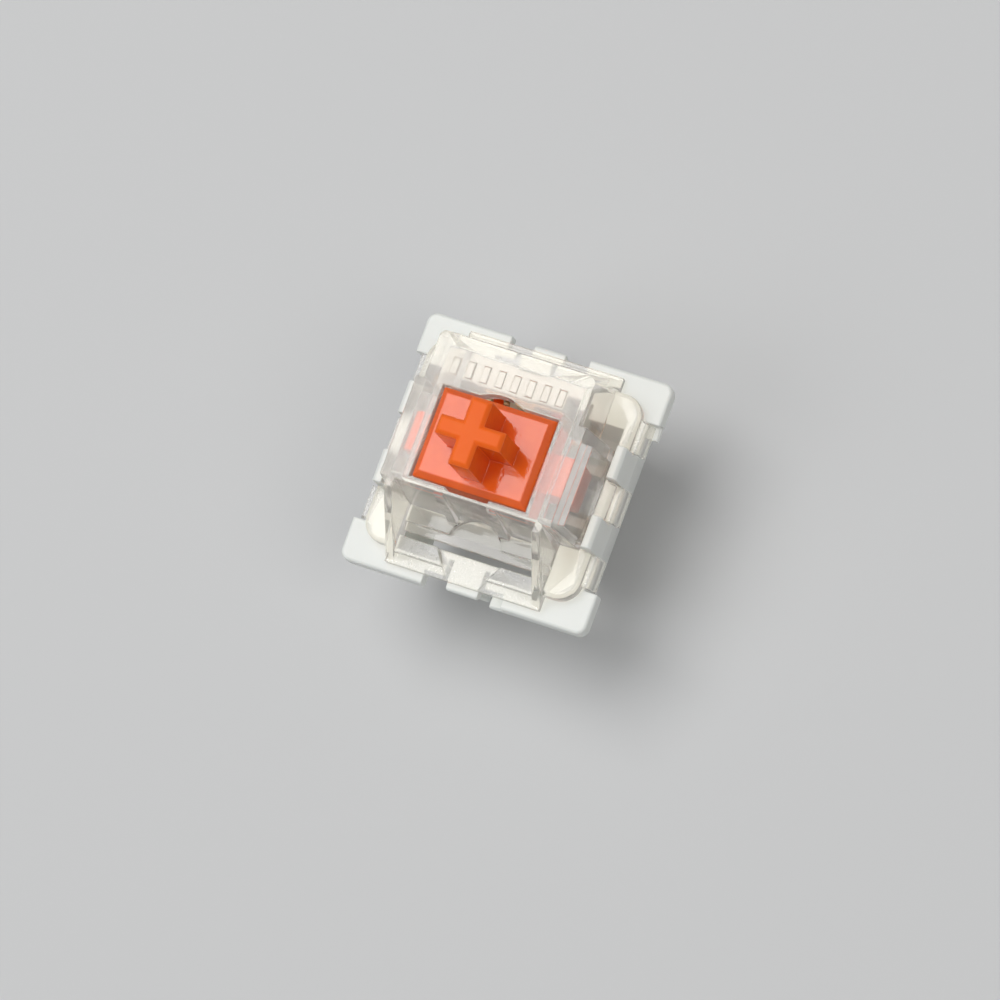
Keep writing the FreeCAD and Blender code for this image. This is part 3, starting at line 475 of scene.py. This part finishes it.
def grid_mesh(name: str, points: np.ndarray, closed_across: bool = True) -> bpy.types.Mesh:
    """Makes a mesh from a grid of points, row by row along its length.

    Face (i, j) joins points (i, j), (i, j+1), (i+1, j+1) and (i+1, j). In rings, the last column joins the
    first.

    Args:
        name: name of the mesh.
        points: array of rows by columns by 3.
        closed_across: whether each row is a closed ring, which is then capped at both ends.

    Returns:
        The mesh, with its faces outwards when the rings turn left about the direction of the rows.
    """
    rows, columns, _ = points.shape
    wide = columns if closed_across else columns - 1
    i, j = np.meshgrid(np.arange(rows - 1), np.arange(wide), indexing="ij")
    step = (j + 1) % columns
    row, above = i * columns, (i + 1) * columns
    faces = np.stack([row + j, row + step, above + step, above + j], -1).reshape(-1, 4).tolist()
    if closed_across:
        faces.append(list(range(columns))[::-1])
        faces.append(list(range((rows - 1) * columns, rows * columns)))
    mesh = bpy.data.meshes.new(name)
    mesh.from_pydata(points.reshape(-1, 3).tolist(), [], faces)
    mesh.update()
    return mesh


def smooth(mesh: bpy.types.Mesh) -> None:
    """Shades every face of a mesh smooth."""
    mesh.polygons.foreach_set("use_smooth", np.ones(len(mesh.polygons), dtype=bool))


def face_places(mesh: bpy.types.Mesh) -> tuple[np.ndarray, np.ndarray]:
    """Reads where each face lies and how far it faces up.

    Args:
        mesh: mesh to read.

    Returns:
        The faces' centres, as faces by 3, and the Z parts of their normals.
    """
    centre = np.empty(len(mesh.polygons) * 3)
    normal = np.empty(len(mesh.polygons) * 3)
    mesh.polygons.foreach_get("center", centre)
    mesh.polygons.foreach_get("normal", normal)
    return centre.reshape(-1, 3), normal.reshape(-1, 3)[:, 2]


def shown(name: str, mesh: bpy.types.Mesh) -> bpy.types.Object:
    """Puts a mesh in the scene as an object at the origin.

    Args:
        name: name of the object.
        mesh: its mesh.

    Returns:
        The object.
    """
    made = bpy.data.objects.new(name, mesh)
    bpy.context.scene.collection.objects.link(made)
    return made


@dataclass
class DressedSolid:
    """A rigid part taken over from its solid: doubles merged, edges rounded and given its finishes.

    Angles are in degrees. Two faces that turn by less than the flat angle are joined. An edge that turns by
    more than the sharp angle and is longer than the shortest length is rounded. An edge that turns by more
    than the crease angle stays crisp in the shading.
    """

    node: str
    piece: str
    body: Body
    slot: Slot
    materials: list[bpy.types.Material]
    round_edge: float
    segments: int = 2
    double: float = 0.0002 * MM
    flat: float = 0.4
    sharp: float = 28.0
    crease: float = 35.0
    shortest: float = 0.06 * MM
    convex: bool = True

    def cleaned(self) -> bpy.types.Mesh:
        """Copies the solid's mesh, merges its doubles and joins its flat faces, into convex ones where asked.

        Returns:
            The new mesh.
        """
        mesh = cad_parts[self.node].data.copy()
        mesh.name = self.piece
        work = bmesh.new()
        work.from_mesh(mesh)
        bmesh.ops.remove_doubles(work, verts=work.verts, dist=self.double)
        bmesh.ops.dissolve_limit(work, angle_limit=math.radians(self.flat), verts=work.verts,
                                 edges=work.edges)
        if self.convex:
            bmesh.ops.connect_verts_concave(work, faces=work.faces)
        work.to_mesh(mesh)
        work.free()
        return mesh

    def edge_weights(self, mesh: bpy.types.Mesh) -> np.ndarray:
        """Gives each edge its share of the rounding: all of it where sharp and long enough, none elsewhere.

        Args:
            mesh: the cleaned mesh.

        Returns:
            One weight an edge, from 0 to 1.
        """
        work = bmesh.new()
        work.from_mesh(mesh)
        closed = np.array([len(edge.link_faces) == 2 for edge in work.edges])
        turn = np.array([edge.calc_face_angle(0.0) for edge in work.edges])
        length = np.array([edge.calc_length() for edge in work.edges])
        work.free()
        return (closed & (turn > math.radians(self.sharp)) & (length > self.shortest)).astype(float)

    def finish_faces(self, mesh: bpy.types.Mesh) -> np.ndarray:
        """Gives every face the first finish. Parts with more than one finish choose here.

        Args:
            mesh: the cleaned mesh.

        Returns:
            One index a face into the part's materials.
        """
        return np.zeros(len(mesh.polygons), dtype=np.int32)

    def build(self) -> bpy.types.Object:
        """Makes the piece and lets it ride on its body in place of its solid.

        Returns:
            The piece's object.
        """
        mesh = self.cleaned()
        mesh.materials.clear()
        for material in self.materials:
            mesh.materials.append(material)
        mesh.polygons.foreach_set("material_index", self.finish_faces(mesh))
        weights = mesh.attributes.new("bevel_weight_edge", "FLOAT", "EDGE")
        weights.data.foreach_set("value", self.edge_weights(mesh).astype(np.float32))
        smooth(mesh)
        mesh.set_sharp_from_angle(angle=math.radians(self.crease))
        made = shown(self.piece, mesh)
        rounding = made.modifiers.new("RoundedEdges", "BEVEL")
        rounding.width = self.round_edge
        rounding.segments = self.segments
        rounding.limit_method = "WEIGHT"
        rounding.use_clamp_overlap = False
        evened = made.modifiers.new("EvenShading", "WEIGHTED_NORMAL")
        evened.keep_sharp = True
        evened.weight = 100
        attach(made, self.body.value)
        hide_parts(self.node)
        return made


@dataclass
class LowerHousing(DressedSolid):
    """White lower housing, whose flange has softer edges than the rest."""

    convex: bool = False
    flange: float = 7.3 * MM
    levels: tuple[float, float] = (5.3 * MM, 6.1 * MM)
    inner_share: float = 0.4

    def edge_weights(self, mesh: bpy.types.Mesh) -> np.ndarray:
        """Rounds the flange's outer edges in full and every other sharp edge by a share.

        An edge is an outer one if each of its ends lies between the two levels, and farther from the axis
        than the flange's limit along X or Y.

        Args:
            mesh: the cleaned mesh.

        Returns:
            One weight an edge, from 0 to 1.
        """
        weights = super().edge_weights(mesh)
        points = np.empty(len(mesh.vertices) * 3)
        ends = np.empty(len(mesh.edges) * 2, dtype=np.int32)
        mesh.vertices.foreach_get("co", points)
        mesh.edges.foreach_get("vertices", ends)
        ends = points.reshape(-1, 3)[ends.reshape(-1, 2)]
        reach = np.abs(ends[:, :, :2]).max(2).min(1)
        level = ends[:, :, 2]
        outer = (reach > self.flange) & (level.min(1) > self.levels[0]) & (level.max(1) < self.levels[1])
        return np.where(outer, weights, weights * self.inner_share)


@dataclass
class UpperHousing(DressedSolid):
    """Clear upper housing: polished walls, a frosted top face, and grain on its ledge and its lip's sides.

    A face is level if the Z part of its normal is above the level value.
    """

    level: float = 0.9
    top: tuple[float, float] = (11.55 * MM, 11.65 * MM)
    low: tuple[float, float] = (6.3 * MM, 7.2 * MM)
    ledge_front: float = -5.6 * MM
    ledge_half: float = 4.5 * MM
    lip_side: float = 6.15 * MM
    lip_start: float = 3.1 * MM

    def finish_faces(self, mesh: bpy.types.Mesh) -> np.ndarray:
        """Frosts the top face round its bars, and gives grain to the ledge and the ends of the lip's sides.

        Args:
            mesh: the cleaned mesh.

        Returns:
            One index a face: 0 for polished, 1 for frosted and 2 for grainy.
        """
        centre, up = face_places(mesh)
        x, y, z = np.abs(centre[:, 0]), centre[:, 1], centre[:, 2]
        top = (up > self.level) & (z > self.top[0]) & (z < self.top[1])
        low = (up > self.level) & (z > self.low[0]) & (z < self.low[1])
        ledge = low & (y < self.ledge_front) & (x < self.ledge_half)
        lip = low & (x > self.lip_side) & (np.abs(y) > self.lip_start)
        return np.select([ledge | lip, top], [2, 1], 0).astype(np.int32)


@dataclass
class Stem(DressedSolid):
    """Orange stem: polished, with a satin top on its cross."""

    cross_top: float = 14.9 * MM

    def finish_faces(self, mesh: bpy.types.Mesh) -> np.ndarray:
        """Gives the top of the cross its satin finish.

        Args:
            mesh: the cleaned mesh.

        Returns:
            One index a face: 0 for polished and 1 for satin.
        """
        centre, _ = face_places(mesh)
        return (centre[:, 2] > self.cross_top).astype(np.int32)


@dataclass
class ReturnSpring:
    """Return spring as one round wire.

    The wire's centre runs at angle a round the axis and at the height h(a), the integral of a pitch that is
    the closed pitch over the end turns and the open pitch between them. Where they meet, the pitch changes
    smoothly over a share of a turn. The last two rings at each end are smaller, by the dome's shares, which
    domes it.
    """

    material: bpy.types.Material
    mean_radius: float = 1.9 * MM
    wire_radius: float = 0.12 * MM
    bottom: float = 1.34 * MM
    top: float = 10.51 * MM
    closed_pitch: float = 0.27 * MM
    open_turns: float = 9.0
    end_turns: float = 1.0
    change: float = 0.3
    dome: tuple[float, float] = (0.45, 0.86)
    per_turn: int = 56
    round_wire: int = 12
    travel: float = 4.0 * MM

    def centre_line(self) -> np.ndarray:
        """Points along the wire's centre.

        Returns:
            Array of points by 3.
        """
        turns = self.open_turns + 2.0 * self.end_turns
        turn = np.linspace(0.0, turns, int(turns * self.per_turn) + 1)
        start = self.end_turns - self.change / 2.0
        rise = np.clip((turn - start) / self.change, 0.0, 1.0)
        fall = np.clip((turns - start - turn) / self.change, 0.0, 1.0)
        ramp = rise * fall
        ramp = ramp * ramp * (3.0 - 2.0 * ramp)
        step = np.diff(turn, prepend=0.0)
        closed = np.cumsum(step) * self.closed_pitch
        rising = np.cumsum(ramp * step)
        height = closed + rising / rising[-1] * (self.top - self.bottom - closed[-1])
        angle = 2.0 * np.pi * turn
        x, y = self.mean_radius * np.cos(angle), self.mean_radius * np.sin(angle)
        return np.stack([x, y, self.bottom + height], -1)

    def build(self) -> bpy.types.Object:
        """Makes the spring: a ring of the wire's radius at each point, square to the wire, with domed ends.

        Returns:
            The piece's object.
        """
        line = self.centre_line()
        along = np.gradient(line, axis=0)
        along /= np.linalg.norm(along, axis=1, keepdims=True)
        outward = line * np.array([1.0, 1.0, 0.0])
        outward /= np.linalg.norm(outward, axis=1, keepdims=True)
        side = np.cross(along, outward)
        side /= np.linalg.norm(side, axis=1, keepdims=True)
        outward = np.cross(side, along)
        share = np.ones(len(line))
        share[[0, -1]] = self.dome[0]
        share[[1, -2]] = self.dome[1]
        turn = np.linspace(0.0, 2.0 * np.pi, self.round_wire, endpoint=False)
        cosine, sine = np.cos(turn)[None, :, None], np.sin(turn)[None, :, None]
        ring = outward[:, None, :] * cosine + side[:, None, :] * sine
        mesh = grid_mesh("return_coil", line[:, None, :] + ring * (share * self.wire_radius)[:, None, None])
        work = bmesh.new()
        work.from_mesh(mesh)
        bmesh.ops.recalc_face_normals(work, faces=work.faces)
        work.to_mesh(mesh)
        work.free()
        smooth(mesh)
        mesh.materials.append(self.material)
        made = shown("return_coil", mesh)
        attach(made, Body.HOUSING.value)
        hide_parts("return_spring")
        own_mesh(made)
        return made


# Studio


@dataclass(frozen=True)
class Softbox:
    """A square lamp that faces a point, seen in reflections but not through clear plastic."""

    name: str
    place: tuple[float, float, float]
    side: float
    watts: float
    colour: Colour = (1.0, 1.0, 1.0)

    def light(self, aim: tuple[float, float, float]) -> None:
        """Puts the lamp in the scene.

        Args:
            aim: point that it faces.
        """
        lamp = bpy.data.lights.new(self.name, "AREA")
        lamp.shape = "RECTANGLE"
        lamp.size = self.side
        lamp.size_y = self.side
        lamp.energy = self.watts
        lamp.color = self.colour
        made = bpy.data.objects.new(self.name, lamp)
        bpy.context.scene.collection.objects.link(made)
        made.location = self.place
        made.rotation_mode = "QUATERNION"
        made.rotation_quaternion = (Vector(aim) - Vector(self.place)).to_track_quat("-Z", "Y")
        made.visible_transmission = False


@dataclass(frozen=True)
class PhotoCamera:
    """Camera where the photograph was taken from.

    It starts looking straight down, rolls about its line of sight, tilts about X and turns to its heading
    about Z. Angles are in degrees, and the lens and the sensor in millimetres.
    """

    place: tuple[float, float, float] = (0.10197, -0.05504, 0.33498)
    heading: float = 62.325
    tilt: float = 19.244
    roll: float = -43.252
    lens: float = 216.0
    sensor: float = 36.0
    seen: tuple[float, float] = (0.01, 20.0)

    def stand(self) -> None:
        """Puts the camera in the scene."""
        turned = (Matrix.Rotation(math.radians(self.heading), 4, "Z")
                  @ Matrix.Rotation(math.radians(self.tilt), 4, "X")
                  @ Matrix.Rotation(math.radians(self.roll), 4, "Z"))
        turned.translation = Vector(self.place)
        data = bpy.data.cameras.new("photo_camera")
        data.lens = self.lens
        data.sensor_width = self.sensor
        data.clip_start, data.clip_end = self.seen
        made = bpy.data.objects.new("photo_camera", data)
        bpy.context.scene.collection.objects.link(made)
        made.matrix_world = turned
        bpy.context.scene.camera = made


@dataclass
class Studio:
    """Plain pale floor, pale surroundings, soft lamps and the camera.

    The dim tone lights the switch, and the pale one is what is seen, mirrored or seen through.
    """

    aim: tuple[float, float, float] = (0.0, 0.0, 6.0 * MM)
    floor_level: float = -3.3 * MM
    floor_half: float = 2.5
    floor_rows: int = 9
    floor_tone: Colour = (0.62, 0.62, 0.62)
    dim: tuple[Colour, float] = ((0.78, 0.80, 0.82), 0.30)
    pale: tuple[Colour, float] = ((0.80, 0.80, 0.81), 0.85)
    camera: PhotoCamera = PhotoCamera()
    lamps: tuple[Softbox, ...] = (
        Softbox("overhead", (-0.174, 0.093, 0.573), side=0.38, watts=2.02),
        Softbox("right_fill", (0.36, -0.06, 0.50), side=0.30, watts=0.64, colour=(1.0, 0.98, 0.95)),
        Softbox("left_fill", (-0.30, -0.30, 0.48), side=0.30, watts=0.55, colour=(0.95, 0.98, 1.0)),
    )

    def floor(self) -> None:
        """Lays the floor, a flat grid at the level of the boss's tip."""
        side = np.linspace(-self.floor_half, self.floor_half, self.floor_rows)
        x, y = np.meshgrid(side, side)
        points = np.stack([x, y, np.full_like(x, self.floor_level)], -1)
        mesh = grid_mesh("floor", points, closed_across=False)
        material, shader = new_material("pale_floor")
        surface = shader.add("ShaderNodeBsdfPrincipled", {"Base Color": (*self.floor_tone, 1.0),
                                                          "Roughness": 0.75, "Specular IOR Level": 0.3})
        shader.surface(surface.outputs["BSDF"])
        mesh.materials.append(material)
        made = shown("floor", mesh)

    def surroundings(self) -> None:
        """Sets the world: pale where it is seen, mirrored or seen through, and dimmer as a lamp."""
        world = bpy.data.worlds.new("studio")
        bpy.context.scene.world = world
        world.use_nodes = True
        world.node_tree.nodes.clear()
        shader = ShaderTree(world.node_tree)
        path = shader.add("ShaderNodeLightPath")
        bent = shader.maths("MAXIMUM", path.outputs["Is Glossy Ray"], path.outputs["Is Transmission Ray"])
        seen = shader.maths("MAXIMUM", path.outputs["Is Camera Ray"], bent)
        dim, pale = (shader.add("ShaderNodeBackground", {"Color": (*tone, 1.0), "Strength": strength})
                     for tone, strength in (self.dim, self.pale))
        mixed = shader.add("ShaderNodeMixShader", {0: seen, 1: dim.outputs["Background"],
                                                   2: pale.outputs["Background"]})
        out = shader.add("ShaderNodeOutputWorld")
        shader.join(mixed.outputs["Shader"], out.inputs["Surface"])

    def build(self) -> None:
        """Sets up the floor, the world, the lamps and the camera."""
        bpy.context.scene.view_settings.view_transform = "Standard"
        self.floor()
        self.surroundings()
        for lamp in self.lamps:
            lamp.light(self.aim)
        self.camera.stand()


def main() -> None:
    """Builds the switch, piece by piece, and its studio."""
    logging.basicConfig(level=logging.INFO, format="%(name)s: %(message)s")
    finish = Finishes(SharedEffects())
    parts = [
        LowerHousing("lower_housing", "white_base", Body.HOUSING, Slot.WHITE, [finish.white],
                     round_edge=0.17 * MM, segments=3),
        UpperHousing("upper_housing", "clear_cover", Body.HOUSING, Slot.CLEAR,
                     [finish.clear, finish.frosted, finish.grainy], round_edge=0.055 * MM, segments=3),
        Stem("stem", "orange_stem", Body.STEM, Slot.ORANGE, [finish.orange, finish.satin_orange],
             round_edge=0.06 * MM, segments=3),
        ReturnSpring(finish.steel),
        DressedSolid("fixed_terminal", "fixed_sheet", Body.HOUSING, Slot.COPPER, [finish.copper],
                     round_edge=0.03 * MM),
        DressedSolid("moving_terminal", "moving_sheet", Body.HOUSING, Slot.COPPER, [finish.copper],
                     round_edge=0.03 * MM),
        DressedSolid("contact_leaf", "spring_leaf", Body.LEAF, Slot.LEAF, [finish.leaf],
                     round_edge=0.01 * MM),
        DressedSolid("fixed_contact", "fixed_bar", Body.HOUSING, Slot.GOLD, [finish.gold],
                     round_edge=0.02 * MM),
        DressedSolid("moving_contact", "moving_bar", Body.LEAF, Slot.GOLD, [finish.gold],
                     round_edge=0.02 * MM),
    ]
    for part in parts:
        made = part.build()
        LOG.info("%s: %d faces", made.name, len(made.data.polygons))
    Studio().build()


if __name__ == "__main__":
    main()
